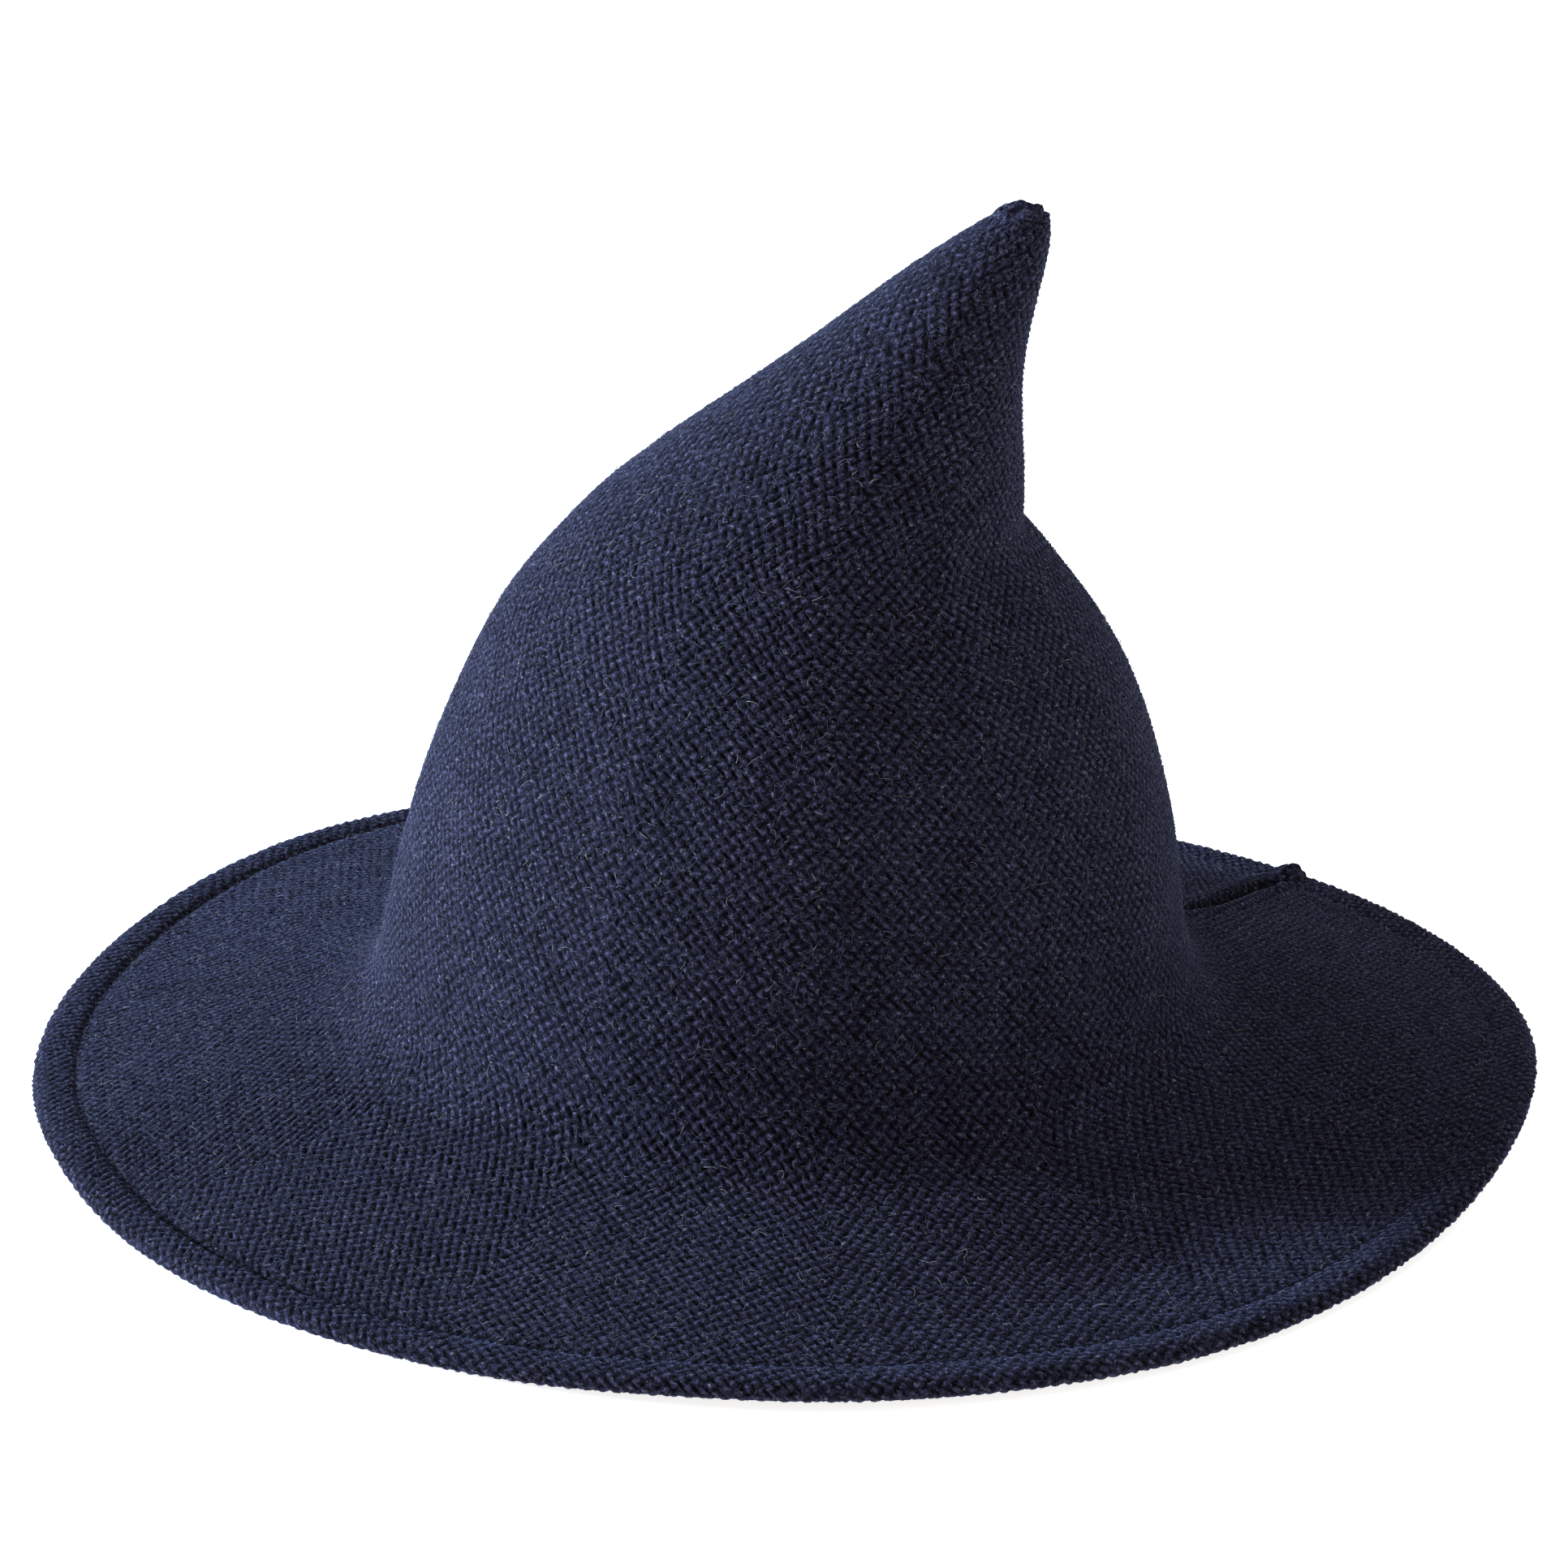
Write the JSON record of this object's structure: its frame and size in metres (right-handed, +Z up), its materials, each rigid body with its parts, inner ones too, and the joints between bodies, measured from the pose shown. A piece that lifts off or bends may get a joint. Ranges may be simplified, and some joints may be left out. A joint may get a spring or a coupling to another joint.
{
  "type": "witch hat",
  "caption": "Soft knitted witch hat: a bell crown with a bent pointed tip over a wide round brim with a turned, wired hem.",
  "frame": {"origin": "centre of the brim, on the plane that the brim rests on", "axes": "+Z up out of the crown, +X the side that the tip leans towards, -Y the front"},
  "size_m": [0.372, 0.372, 0.222],
  "materials": {
    "wool_knit": "matte napped wool, sideways plain knit",
    "wool_yarn": "plied wool yarn",
    "sewing_thread": "spun polyester thread",
    "ribbon": "ribbed grosgrain ribbon",
    "label_satin": "blank woven satin",
    "spring_wire": "drawn spring wire",
    "ferrule_metal": "crimped sleeve"
  },
  "bodies": {
    "root": {"crown_bell": "wool_knit", "crown_bend": "wool_knit", "crown_back_seam": "wool_yarn", "brim_panel": "wool_knit", "brim_hem": "wool_knit", "brim_wire": "spring_wire", "wire_ferrule": "ferrule_metal", "hem_stitching": "sewing_thread", "brim_back_seam": "wool_yarn", "seam_end_tack": "wool_yarn", "sweatband": "ribbon", "sweatband_stitching": "sewing_thread", "sweatband_join": "ribbon", "care_label": "label_satin"},
    "tip": {"crown_tip": "wool_knit", "tip_gather": "wool_knit", "tip_draw_yarn": "wool_yarn"}
  },
  "joints": [
    {"name": "tip_bend", "type": "hinge", "parent": "root", "child": "tip", "pos_m": [0.01193, 0, 0.1595], "axis": [0, 1, 0], "range_deg": [-38, 35], "deforming": ["crown_bend"]}
  ]
}
